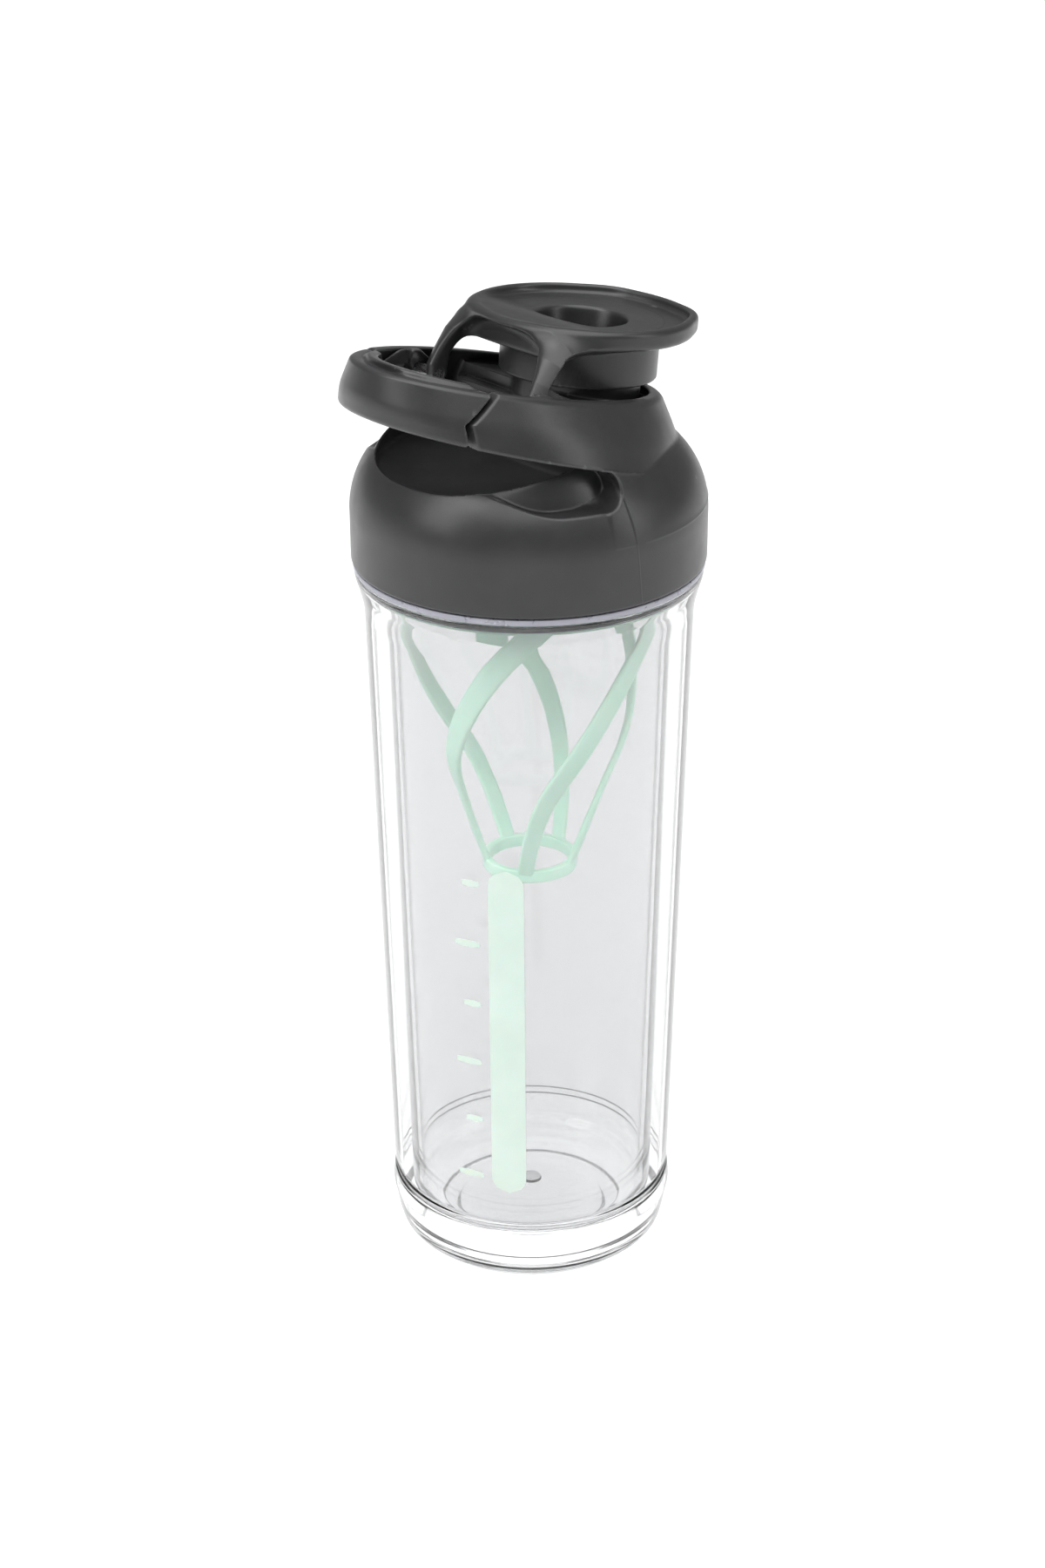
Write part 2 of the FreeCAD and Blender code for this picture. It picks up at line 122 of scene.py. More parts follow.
RECESS_LOW_R = 9.0
RECESS_DEPTH = 10.6
CUP_R = 19.8
CUP_BORE_R = 18.2
CUP_DEPTH = 14.8

THREAD_LEAD = 12.0
THREAD_DEPTH = 1.3
THREAD_TURNS = 0.42
NECK_THREAD_Z = 202.6
LID_THREAD_Z = 201.6
NECK_R = 38.4
LID_THREAD_ROOT_R = CAP_R - 2.9
LID_THREAD_TIP_R = NECK_R + 0.5

WHISK_START = -123.0
WHISK_RIBS = 5
# centre line of a ribbon from top to bottom: radius, height, degrees turned so far
WHISK_LINE = [(32.4, 194.0, 0.0), (31.0, 177.0, 25.0), (26.6, 154.0, 51.0), (18.8, 135.0, 70.0),
              (11.4, 113.5, 85.0)]

RIBBON_WIDTH = 6.8       # at the top
RIBBON_NARROWING = 2.8   # down to the bottom
RIBBON_THICK = 1.5
RIBBON_THICKENING = 0.3

FINE_STEP = 0.4          # grid step of the distance fields, in millimetres


# ---------------------------------------------------------------- distance fields
def smooth_min(a, b, k):
    h = np.clip(0.5 + 0.5 * (b - a) / k, 0.0, 1.0)
    return b + (a - b) * h - k * h * (1.0 - h)


def smooth_max(a, b, k):
    return -smooth_min(-a, -b, k)


def cut(a, b, k):
    """a without b, with the edge rounded over about k."""
    return smooth_max(a, -b, k)


def ellipse_loft(x, y, z, lower, upper):
    """Approximate distance to the wall that joins two tilted ellipses, extended past both."""
    xl, al, bl, zl, sl = lower
    xu, au, bu, zu, su = upper
    t = (z - zl + sl * x) / ((zu - zl) - (su - sl) * x)
    t = np.clip(t, -1.2, 1.6)
    a = al + (au - al) * t
    b = bl + (bu - bl) * t
    qx = (x - xl - (xu - xl) * t) / a
    qy = y / b
    k1 = np.sqrt(qx * qx + qy * qy)
    k2 = np.sqrt((qx / a) ** 2 + (qy / b) ** 2) + 1e-9
    return k1 * (k1 - 1.0) / k2


def above(x, z, ring):
    """Distance above the plane of a tilted ellipse."""
    height, slope = ring[3], ring[4]
    return (z - height + slope * x) / math.hypot(1.0, slope)


def dome_distance(r, z):
    qr = np.maximum(r - DOME_CENTRE_R, 0.0)
    qz = np.maximum(z - DOME_CENTRE_Z, 0.0)
    inside = np.minimum(np.maximum(r - DOME_CENTRE_R, z - DOME_CENTRE_Z), 0.0)
    return np.sqrt(qr * qr + qz * qz) + inside - DOME_R


def collar_outside(x, y, z):
    band = ellipse_loft(x, y, z, LOW, CREASE) * LEAN
    bevel = ellipse_loft(x, y, z, CREASE, RIM) * LEAN
    return smooth_max(band, bevel, 0.5)


def polygon_distance(px, pz, outline):
    """Signed distance to a closed outline in a plane."""
    points = np.array(outline)
    best = np.full(px.shape, 1e9)
    inside = np.zeros(px.shape, bool)
    for i in range(len(points)):
        ax, az = points[i]
        bx, bz = points[i - 1]
        ex, ez = bx - ax, bz - az
        wx, wz = px - ax, pz - az
        t = np.clip((wx * ex + wz * ez) / (ex * ex + ez * ez), 0.0, 1.0)
        best = np.minimum(best, (wx - ex * t) ** 2 + (wz - ez * t) ** 2)
        crosses = ((az > pz) != (bz > pz)) & (px < (bx - ax) * (pz - az) / (bz - az + 1e-12) + ax)
        inside ^= crosses
    return np.where(inside, -1.0, 1.0) * np.sqrt(best)


def plate_frame(x, z):
    """Coordinates along and across the plate's top face, which leans forward."""
    c, s = math.cos(PLATE_TILT), math.sin(PLATE_TILT)
    u = (x - PLATE_X) * c - (z - PLATE_Z) * s
    w = (x - PLATE_X) * s + (z - PLATE_Z) * c
    return u, w


def thread_distance(x, y, z, start_deg):
    """One start of the lid's rounded inside thread, before the mesh is mirrored."""
    r = np.hypot(x, y)
    full = 2.0 * math.pi
    angle = np.mod(np.arctan2(y, x) - math.radians(start_deg), full)
    turn = angle / full
    axial = np.abs(z - LID_THREAD_Z - THREAD_LEAD * turn) - 1.0
    middle = 0.5 * (LID_THREAD_ROOT_R + LID_THREAD_TIP_R)
    radial = np.abs(r - middle) - 0.5 * (LID_THREAD_ROOT_R - LID_THREAD_TIP_R)
    past_end = (turn - THREAD_TURNS) * full * LID_THREAD_ROOT_R
    return smooth_max(smooth_max(axial, radial, 0.6), past_end, 0.8)


def spout_distance(x, y, z):
    u, w = plate_frame(x, z)
    r = np.hypot(u, y)
    tube = smooth_max(r - SPOUT_R, w + SPOUT_DROP, 0.8)
    return np.maximum(tube, -SPOUT_FOOT - w), r - SPOUT_BORE_R


def pin_bore(x, y, z, radius):
    length = np.abs(np.abs(y) - BORE_MIDDLE_Y) - BORE_HALF
    return np.maximum(np.hypot(x - HINGE_X, z - HINGE_Z) - radius, length)


def split_distance(x, z, shift):
    """Distance in front of the zig-zag split of the collar."""
    low_z = CREASE[3] - CREASE[4] * SPLIT_X
    high_z = RIM[3] - RIM[4] * (SPLIT_X + SPLIT_RISE_X)
    rise = np.clip((z - low_z) / (high_z - low_z), 0.0, 1.6)
    return (x - SPLIT_X - shift - SPLIT_RISE_X * rise) * 0.86


def slot_distance(x, z):
    block = np.maximum(x - SLOT_X, above(x, z, LOW))
    rod = np.hypot(x - SLOT_X, z - SLOT_Z) - SLOT_R
    return smooth_min(block, rod, 0.2)


def groove_distance(x, y, z, dome):
    """Groove outside the bowl's rim that starts at the slot's front end and runs out along the dome."""
    floor = SLOT_Z - SLOT_R
    ramp = floor + (GROOVE_RAMP_X - x) * (GROOVE_RAMP_TOP_Z - floor) / GROOVE_RAMP_LENGTH
    below = smooth_max(floor - z, (ramp - z) * 0.86, 2.5)
    block = smooth_max(below, x - SLOT_X, 0.4)
    rod = np.hypot(x - SLOT_X, z - SLOT_Z) - SLOT_R
    outside_bowl = np.hypot(x - BOWL_X, y) - BOWL_R
    fade = np.clip((x - GROOVE_FADE_X) / GROOVE_FADE_LENGTH, 0.0, 1.0)
    depth = np.clip(1.2 * (outside_bowl - 0.3), 0.0, GROOVE_DEPTH) * fade
    return smooth_max(smooth_min(block, rod, 0.4), -(dome + depth) * 0.8, 0.9)


def bowl_distance(x, y, z):
    r = np.hypot(x - BOWL_X, y)
    floor = BOWL_FLOOR_Z + BOWL_DEPTH * np.minimum(r / BOWL_R, 1.05) ** 3
    return smooth_max(smooth_max(r - BOWL_R, floor - z, 1.0), x - CORE_BACK_X, 1.5)


def lid_field(x, y, z):
    r = np.hypot(x, y)
    dome = dome_distance(r, z)
    outside = collar_outside(x, y, z)
    top = above(x, z, RIM)
    bottom = -above(x, z, LOW)
    foot = np.maximum(ellipse_loft(x, y, z, FOOT, LOW) * LEAN, np.maximum(-bottom - 0.5, FOOT[3] - z))
    foot = cut(foot, slot_distance(x, z), 0.7)
    shell = smooth_min(dome, foot, 1.0)
    shell = cut(shell, bowl_distance(x, y, z), 0.6)
    shell = cut(shell, groove_distance(x, y, z, dome), 0.7)
    ring = smooth_max(smooth_max(outside, top, 1.3), bottom, 1.1)
    ring = cut(ring, outside + COLLAR_WALL, 0.9)
    ring = smooth_max(ring, -split_distance(x, z, SPLIT_GAP), 0.6)
    body = smooth_min(shell, ring, 0.5)
    deck = np.maximum(np.maximum(outside + 1.8, top + DECK_DROP), np.maximum(bottom, DECK_X - x))
    body = smooth_min(body, deck, 1.2)
    core = np.maximum(np.maximum(CORE_BACK_X - x, x - CORE_FRONT_X), np.abs(y) - CORE_HALF)
    core = np.maximum(core, np.maximum(z - CORE_TOP_Z, CORE_LOW_Z - z))
    core = np.maximum(core, np.minimum(outside + 1.2, dome + 0.6))
    body = smooth_min(body, core, 0.4)
    hollow = np.maximum(dome + LID_WALL, np.minimum(z - ROOF_Z, DECK_X - x))
    body = cut(body, hollow, 0.8)
    seat = np.maximum(np.maximum(SEAT_R - r, dome + 1.0), np.abs(z - SEAT_Z) - SEAT_HALF)
    body = smooth_min(body, seat, 0.6)
    spout, bore = spout_distance(x, y, z)
    body = smooth_min(body, spout, 1.0)
    body = cut(body, bore, 0.9)
    body = cut(body, pin_bore(x, y, z, PIN_R), 0.3)
    for start in (60.0, 240.0):
        body = np.minimum(body, thread_distance(x, y, z, start))
    return smooth_max(body, CAP_Z - z, 1.0)


def loop_field(x, y, z):
    outside = collar_outside(x, y, z)
    top = above(x, z, RIM)
    bottom = -above(x, z, LOW)
    ring = smooth_max(smooth_max(outside, top, 1.3), bottom, 1.4)
    wide = LOOP_WALL + LEDGE_EXTRA * np.clip((x - LEDGE_START_X) / LEDGE_GROWTH_X, 0.0, 1.0)
    ring = cut(ring, outside + wide, 1.6)
    slope_down = (top + LOOP_TOP_SLOPE * np.maximum(-outside - LOOP_TOP_FLAT, 0.0)) * 0.85
    ring = smooth_max(ring, slope_down, 1.0)
    ring = smooth_max(ring, split_distance(x, z, 0.0), 0.6)
    ledge_side = [(-40.0, 244.0), (-40.0, 256.0), (-33.4, 252.8), (-28.2, 246.9), (-24.2, 245.2),
                  (-20.0, 245.0), (-20.0, 242.0)]
    ledge = smooth_max(smooth_max(outside + COLLAR_WALL + 0.3, -(outside + wide), 0.8), slope_down, 0.8)
    ledge = smooth_max(ledge, polygon_distance(x, z, ledge_side), 0.8)
    inside_wall = outside + COLLAR_WALL + LEG_GAP
    leg = smooth_max(inside_wall, -(inside_wall + LEG_WALL), 0.6)
    zone = [(-44.0, 244.5), (-44.0, 256.6), (-30.0, 252.3), (-15.0, 248.6), (-10.4, 245.0), (-10.4, 240.0),
            (-14.0, 239.4), (-30.0, 243.0)]
    leg = smooth_max(leg, polygon_distance(x, z, zone), 0.8)
    # room for the arms of the flip cap to swing
    swing_side = [(-18.0, 264.0), (-33.5, 264.0), (-33.0, 253.0), (-28.0, 247.2), (-24.0, 245.4),
                  (-18.0, 245.4)]
    room = polygon_distance(x, z, swing_side)
    leg = cut(leg, np.maximum(room, np.abs(y) - SWING_HALF), 0.5)
    loop = smooth_min(smooth_min(ring, ledge, 1.0), leg, 1.0)
    return cut(loop, pin_bore(x, y, z, PIN_R), 0.3)


def flip_field(x, y, z):
    u, w = plate_frame(x, z)
    r = np.hypot(u, y)
    corner_x = np.abs(u - PLATE_TIP / 2.0) - PLATE_TIP / 2.0 + PLATE_CORNER
    corner_y = np.abs(y) - PLATE_HALF + PLATE_CORNER
    tab = np.hypot(np.maximum(corner_x, 0.0), np.maximum(corner_y, 0.0))
    tab = tab + np.minimum(np.maximum(corner_x, corner_y), 0.0) - PLATE_CORNER
    outline = smooth_min(r - PLATE_R, tab, 2.0)
    plate = smooth_max(outline, w - PLATE_RIM, 1.6)
    plate = smooth_max(plate, -PLATE_THICK - w + 0.12 * np.maximum(outline + 6.0, 0.0), 1.8)
    hood_side = [(HINGE_X - 3.6, 242.2), (HINGE_X - 2.0, 239.8), (HINGE_X + 2.0, 239.8)]
    hood_side += [(HINGE_X + 3.6, 242.2), (HINGE_X + 4.6, 247.4), (-5.0, 252.4), (0.0, 254.4), (10.0, 253.8)]
    hood_side += [(10.0, 257.8), (-6.0, 258.9), (-10.6, 255.4), (-14.4, 250.6), (HINGE_X - 3.2, 246.4)]
    side = polygon_distance(x, z, hood_side)
    hood = smooth_max(side, np.abs(y) - ARM_OUTER_Y - 0.4, HOOD_ROUND)
    hood = smooth_max(hood, np.abs(y) - ARM_OUTER_Y, 0.8)
    cap = smooth_min(plate, hood, 4.0)
    arch = smooth_max(np.abs(y) - ARM_INNER_Y, z - ARCH_TOP_Z, ARCH_ROUND)
    cap = cut(cap, smooth_max(arch, x - ARCH_X, 3.0), 1.8)
    fade = np.clip((u - DISH_FADE_U) / DISH_FADE_LENGTH, 0.0, 1.0)
    level = PLATE_RIM - (PLATE_RIM + DISH_DEPTH) * fade * fade * (3.0 - 2.0 * fade)
    dish = smooth_max(outline + RIM_WIDTH, level - w, 1.6)
    cap = cut(cap, dish, 0.9)
    cup = smooth_max(np.abs(r - 0.5 * (CUP_R + CUP_BORE_R)) - 0.5 * (CUP_R - CUP_BORE_R), -CUP_DEPTH - w, 0.7)
    cup = np.maximum(cup, w + 1.5)
    cap = smooth_min(cap, cup, 1.2)
    slope = (STOPPER_R - STOPPER_LOW_R) / (STOPPER_DEPTH - SPOUT_DROP)
    stopper = r - np.minimum(STOPPER_R, STOPPER_LOW_R + slope * (w + STOPPER_DEPTH))
    stopper = smooth_max(np.maximum(stopper, w + 1.5), -STOPPER_DEPTH - w, 0.8)
    cap = smooth_min(cap, stopper, 0.5)
    taper = (RECESS_R - RECESS_LOW_R) / RECESS_DEPTH
    recess = smooth_max(r - RECESS_R - taper * np.minimum(w, 0.0), -RECESS_DEPTH - w, 1.0)
    cap = cut(cap, recess, 0.9)
    return cut(cap, pin_bore(x, y, z, PIN_R + 0.05), 0.3)


# ---------------------------------------------------------------- meshing
def sample(field, low, high, step):
    """Values of a field on a grid. The side at +Y is sampled, and the side at -Y is its mirror image.

    The lid's inside thread is mirrored too, so at -Y it climbs the wrong way round.
    """
    xs = np.arange(low[0], high[0] + step, step)
    ys = np.arange(0.5 * step, high[1] + step, step)
    zs = np.arange(low[2], high[2] + step, step)
    slabs = []
    for part in np.array_split(xs, 8):
        x, y, z = np.meshgrid(part, ys, zs, indexing="ij")
        slabs.append(field(x, y, z).astype(np.float32))
    half = np.concatenate(slabs)
    full = np.concatenate([half[:, ::-1], half], axis=1)
    return full, np.array([xs[0], -ys[-1], zs[0]])


def surface_net(values, origin, step):
    """Vertices and quads of the surface where the values change sign."""
    inside = values < 0.0
    corners = [(i, j, k) for i in (0, 1) for j in (0, 1) for k in (0, 1)]
    nx, ny, nz = inside.shape
    count = np.zeros((nx - 1, ny - 1, nz - 1), np.int8)
    for i, j, k in corners:
        count += inside[i:nx - 1 + i, j:ny - 1 + j, k:nz - 1 + k]
    mixed = (count > 0) & (count < 8)
    cells = np.argwhere(mixed)
    index = np.full(mixed.shape, -1, np.int64)
    index[mixed] = np.arange(len(cells))
    total = np.zeros((len(cells), 3))
    hits = np.zeros((len(cells), 1))
    for a in corners:
        for axis in range(3):
            if a[axis]:
                continue
            b = list(a)
            b[axis] = 1
            va = values[cells[:, 0] + a[0], cells[:, 1] + a[1], cells[:, 2] + a[2]].astype(float)
            vb = values[cells[:, 0] + b[0], cells[:, 1] + b[1], cells[:, 2] + b[2]].astype(float)
            crossing = (va < 0.0) != (vb < 0.0)
            t = np.where(crossing, va / np.where(crossing, va - vb, 1.0), 0.0)
            point = np.tile(np.array(a, float), (len(cells), 1))
            point[:, axis] += t
            total += point * crossing[:, None]
            hits += crossing[:, None]
    points = origin + step * (cells + total / hits)
    quads = []
    for axis in range(3):
        o1, o2 = [o for o in range(3) if o != axis]
        first = np.take(inside, range(inside.shape[axis] - 1), axis)
        second = np.take(inside, range(1, inside.shape[axis]), axis)
        edges = np.argwhere(first != second)
        edges = edges[(edges[:, o1] > 0) & (edges[:, o2] > 0)]
        edges = edges[(edges[:, o1] < mixed.shape[o1]) & (edges[:, o2] < mixed.shape[o2])]
        ring = []
        for d1, d2 in ((1, 1), (0, 1), (0, 0), (1, 0)):
            cell = edges.copy()
            cell[:, o1] -= d1
            cell[:, o2] -= d2
            ring.append(index[cell[:, 0], cell[:, 1], cell[:, 2]])
        face = np.stack(ring, axis=1)
        leaves = first[edges[:, 0], edges[:, 1], edges[:, 2]]
        flip = leaves if axis == 1 else ~leaves
        face[flip] = face[flip][:, ::-1]
        quads.append(face)
    return points, np.concatenate(quads)


def gradient(field, points):
    """Slope of a field at each point, mirrored for the side at -Y."""
    h = 0.04
    x, y, z = points.T
    y = np.abs(y)
    g = np.stack([field(x + h, y, z) - field(x - h, y, z),
                  field(x, y + h, z) - field(x, y - h, z),
                  field(x, y, z + h) - field(x, y, z - h)], axis=1) / (2.0 * h)
    g[:, 1] *= np.sign(points[:, 1])
    return g


def settle(field, points, step):
    """Move points onto the surface along the field's slope, by at most the given step in all."""
    start = points.copy()
    for _ in range(3):
        g = gradient(field, points)
        value = field(points[:, 0], np.abs(points[:, 1]), points[:, 2])
        points = points - g * (value / np.maximum((g * g).sum(axis=1), 0.25))[:, None]
    away = points - start
    length = np.linalg.norm(away, axis=1, keepdims=True)
    return start + away * np.minimum(1.0, step / np.maximum(length, 1e-9))


def mesh_from_field(name, field, low, high, keep):
    """Closed object from a distance field, thinned to a share of its faces, with the field's own normals."""
    step = FINE_STEP
    values, origin = sample(field, low, high, step)
    points, quads = surface_net(values, origin, step)
    points = settle(field, points, step)
    obj = make_object(name, points * MM, quads.tolist())
    thin = obj.modifiers.new("thin", "DECIMATE")
    thin.ratio = keep
    obj.data = evaluated_mesh(obj)
    obj.modifiers.clear()
    mesh = obj.data
    co = np.zeros(len(mesh.vertices) * 3)
    mesh.vertices.foreach_get("co", co)
    points = settle(field, co.reshape(-1, 3) / MM, 0.3 * step)
    mesh.vertices.foreach_set("co", (points * MM).ravel())
    normals = gradient(field, points)
    normals /= np.maximum(np.linalg.norm(normals, axis=1, keepdims=True), 1e-9)
    mesh.update()
    mesh.normals_split_custom_set_from_vertices(normals.tolist())
    return obj


def evaluated_mesh(obj):
    bpy.context.view_layer.update()
    graph = bpy.context.evaluated_depsgraph_get()
    return bpy.data.meshes.new_from_object(obj.evaluated_get(graph))


def make_object(name, vertices, faces, sharp_angle=None):
    mesh = bpy.data.meshes.new(name)
    mesh.from_pydata([tuple(v) for v in vertices], [], faces)
    mesh.update()
    obj = bpy.data.objects.new(name, mesh)
    bpy.context.scene.collection.objects.link(obj)
    mesh.polygons.foreach_set("use_smooth", [True] * len(mesh.polygons))
    if sharp_angle is not None:
        mesh.set_sharp_from_angle(angle=math.radians(sharp_angle))
    return obj


def join_lists(pieces):
    """One list of vertices and one of faces from several closed pieces."""
    vertices, faces = [], []
    for piece_vertices, piece_faces in pieces:
        shift = len(vertices)
        vertices += list(piece_vertices)
        faces += [[i + shift for i in face] for face in piece_faces]
    return vertices, faces


def rounded(outline, radius):
    """Closed outline with each corner off the axis rounded, unless it is nearly straight."""
    steps = 4
    straight = -0.985
    result = []
    count = len(outline)
    for i in range(count):
        p = np.array(outline[i], float)
        before = np.array(outline[i - 1], float)
        after = np.array(outline[(i + 1) % count], float)
        if p[0] < 1e-6:
            result.append(tuple(p))
            continue
        to_before, to_after = before - p, after - p
        lb, la = np.linalg.norm(to_before), np.linalg.norm(to_after)
        cosine = np.dot(to_before, to_after) / (lb * la)
        if cosine < straight:
            result.append(tuple(p))
            continue
        reach = min(radius, 0.45 * lb, 0.45 * la)
        a = p + to_before / lb * reach
        b = p + to_after / la * reach
        for s in range(steps + 1):
            t = s / steps
            result.append(tuple((1 - t) ** 2 * a + 2 * t * (1 - t) * p + t * t * b))
    return result


def turned(outline, segments=180):
    """Closed solid of revolution about Z. The outline runs counter-clockwise in (radius, z)."""
    vertices, faces, rings = [], [], []
    for r, z in outline:
        if r < 1e-6:
            rings.append([len(vertices)])
            vertices.append((0.0, 0.0, z * MM))
            continue
        rings.append(range(len(vertices), len(vertices) + segments))
        for s in range(segments):
            angle = 2.0 * math.pi * s / segments
            vertices.append((r * math.cos(angle) * MM, r * math.sin(angle) * MM, z * MM))
    for i in range(len(rings)):
        a, b = rings[i - 1], rings[i]
        if len(a) == 1 and len(b) == 1:
            continue
        for s in range(segments):
            n = (s + 1) % segments
            if len(a) == 1:
                faces.append([a[0], b[n], b[s]])
            elif len(b) == 1:
                faces.append([a[s], a[n], b[0]])
            else:
                faces.append([a[s], a[n], b[n], b[s]])
    return vertices, faces


def swept(sections):
    """Closed solid through a list of sections, each a ring of points in the same order."""
    vertices = [p for ring in sections for p in ring]
    size = len(sections[0])
    faces = [list(range(size))[::-1]]
    for k in range(len(sections) - 1):
        for i in range(size):
            j = (i + 1) % size
            faces.append([k * size + i, k * size + j, (k + 1) * size + j, (k + 1) * size + i])
    last = (len(sections) - 1) * size
    faces.append([last + i for i in range(size)])
    return vertices, faces


def thread_ridge(start_deg):
    """One start of the neck's outside thread, with tapered ends."""
    root = NECK_R + 0.15
    buried = NECK_R - 0.3
    sections = []
    stations = 64
    for k in range(stations + 1):
        turn = THREAD_TURNS * k / stations
        angle = math.radians(start_deg) + 2.0 * math.pi * turn
        fade = min(1.0, 6.0 * min(k, stations - k) / stations)
        tip = root + (THREAD_DEPTH - 0.15) * fade
        z = NECK_THREAD_Z + THREAD_LEAD * turn
        ring = []
        section = [(buried, -1.3), (tip - 0.25, -0.8), (tip, -0.4)]
        section += [(tip, 0.4), (tip - 0.25, 0.8), (buried, 1.3)]
        for r, dz in section:
            ring.append((r * math.cos(angle) * MM, r * math.sin(angle) * MM, (z + dz) * MM))
        sections.append(ring)
    return swept(sections)


# ---------------------------------------------------------------- the whisk
def whisk_point(index, t):
    """Point on a ribbon's centre line: t runs from 0 at the top ring to 1 at the bottom ring."""
    spans = len(WHISK_LINE) - 1
    k = min(int(t * spans), spans - 1)
    u = t * spans - k
    p0, p1, p2, p3 = [np.array(WHISK_LINE[min(max(k + i, 0), spans)]) for i in (-1, 0, 1, 2)]
    value = p1 + 0.5 * u * (p2 - p0 + u * (2 * p0 - 5 * p1 + 4 * p2 - p3 + u * (3 * (p1 - p2) + p3 - p0)))
    radius, height, turned_by = value
    angle = math.radians(WHISK_START + index * 360.0 / WHISK_RIBS - turned_by)
    return np.array([radius * math.cos(angle), radius * math.sin(angle), height])


def whisk_ribbon(index):
    """Flat ribbon with rounded edges that gets narrower on its way down."""
    stations = 72
    around = 20
    sections = []
    for i in range(stations + 1):
        t = i / stations
        centre = whisk_point(index, t)
        along = whisk_point(index, min(t + 0.01, 1.0)) - whisk_point(index, max(t - 0.01, 0.0))
        along /= np.linalg.norm(along)
        outward = np.array([centre[0], centre[1], 0.0])
        outward /= np.linalg.norm(outward)
        outward -= along * outward.dot(along)
        outward /= np.linalg.norm(outward)
        across = np.cross(along, outward)
        half_width = 0.5 * (RIBBON_WIDTH - RIBBON_NARROWING * t)
        half_thick = 0.5 * (RIBBON_THICK + RIBBON_THICKENING * t)
        ring = []
        for k in range(around):
            angle = 2.0 * math.pi * k / around
            c, s = math.cos(angle), math.sin(angle)
            flat_c = math.copysign(abs(c) ** 0.45, c)
            flat_s = math.copysign(abs(s) ** 0.7, s)
            p = centre + across * half_width * flat_c + outward * half_thick * flat_s
            ring.append(tuple(p * MM))
        sections.append(ring)
    return swept(sections)


# ---------------------------------------------------------------- materials
class Nodes:
    """Small helper that builds one material's node tree."""

    def __init__(self, name):
        self.material = bpy.data.materials.new(name)
        self.material.use_nodes = True
        self.tree = self.material.node_tree
        self.tree.nodes.clear()
        self.output = self.tree.nodes.new("ShaderNodeOutputMaterial")
        self.shader = self.tree.nodes.new("ShaderNodeBsdfPrincipled")
        self.link(self.shader.outputs["BSDF"], self.output.inputs["Surface"])
        self.place = self.tree.nodes.new("ShaderNodeTexCoord").outputs["Object"]

    def link(self, source, target):
        self.tree.links.new(source, target)

    def set(self, **values):
        for key, value in values.items():
            self.shader.inputs[key.replace("_", " ")].default_value = value
        return self

    def noise(self, size_mm, detail=3.0, roughness=0.55, stretch=None):
        """Noise whose features are about size_mm wide."""
        node = self.tree.nodes.new("ShaderNodeTexNoise")
        node.inputs["Scale"].default_value = 1.0 / (size_mm * MM)
        node.inputs["Detail"].default_value = detail
        node.inputs["Roughness"].default_value = roughness
        source = self.place
        if stretch:
            mapping = self.tree.nodes.new("ShaderNodeMapping")
            mapping.inputs["Scale"].default_value = stretch
            self.link(self.place, mapping.inputs["Vector"])
            source = mapping.outputs["Vector"]
        self.link(source, node.inputs["Vector"])
        return node.outputs["Fac"]

    def ramp(self, value, low, high, from_low=0.3, from_high=0.7):
        """Map a value to a number range or a colour range."""
        if isinstance(low, tuple):
            node = self.tree.nodes.new("ShaderNodeValToRGB")
            node.color_ramp.elements[0].position = from_low
            node.color_ramp.elements[1].position = from_high
            node.color_ramp.elements[0].color = (*low, 1.0)
            node.color_ramp.elements[1].color = (*high, 1.0)
            self.link(value, node.inputs["Fac"])
            return node.outputs["Color"]
        node = self.tree.nodes.new("ShaderNodeMapRange")
        numbers = {"From Min": from_low, "From Max": from_high, "To Min": low, "To Max": high}
        for key, number in numbers.items():
            node.inputs[key].default_value = number
        self.link(value, node.inputs["Value"])
        return node.outputs["Result"]

    def math(self, operation, a, b=None):
        node = self.tree.nodes.new("ShaderNodeMath")
        node.operation = operation
        for socket, value in zip(node.inputs, (a, b)):
            if value is None:
                continue
            if isinstance(value, (int, float)):
                socket.default_value = value
            else:
                self.link(value, socket)
        return node.outputs["Value"]

    def mix(self, factor, a, b):
        node = self.tree.nodes.new("ShaderNodeMix")
        node.data_type = "RGBA"
        self.link(factor, node.inputs["Factor"])
        for socket, value in ((node.inputs[6], a), (node.inputs[7], b)):
            if isinstance(value, tuple):
                socket.default_value = (*value, 1.0)
            else:
                self.link(value, socket)
        return node.outputs[2]

    def bump(self, height, depth_mm, previous=None):
        node = self.tree.nodes.new("ShaderNodeBump")
        node.inputs["Distance"].default_value = depth_mm * MM
        self.link(height, node.inputs["Height"])
        if previous:
            self.link(previous, node.inputs["Normal"])
        return node.outputs["Normal"]

    def axis(self, name):
        node = self.tree.nodes.new("ShaderNodeSeparateXYZ")
        self.link(self.place, node.inputs["Vector"])
        return node.outputs[name]


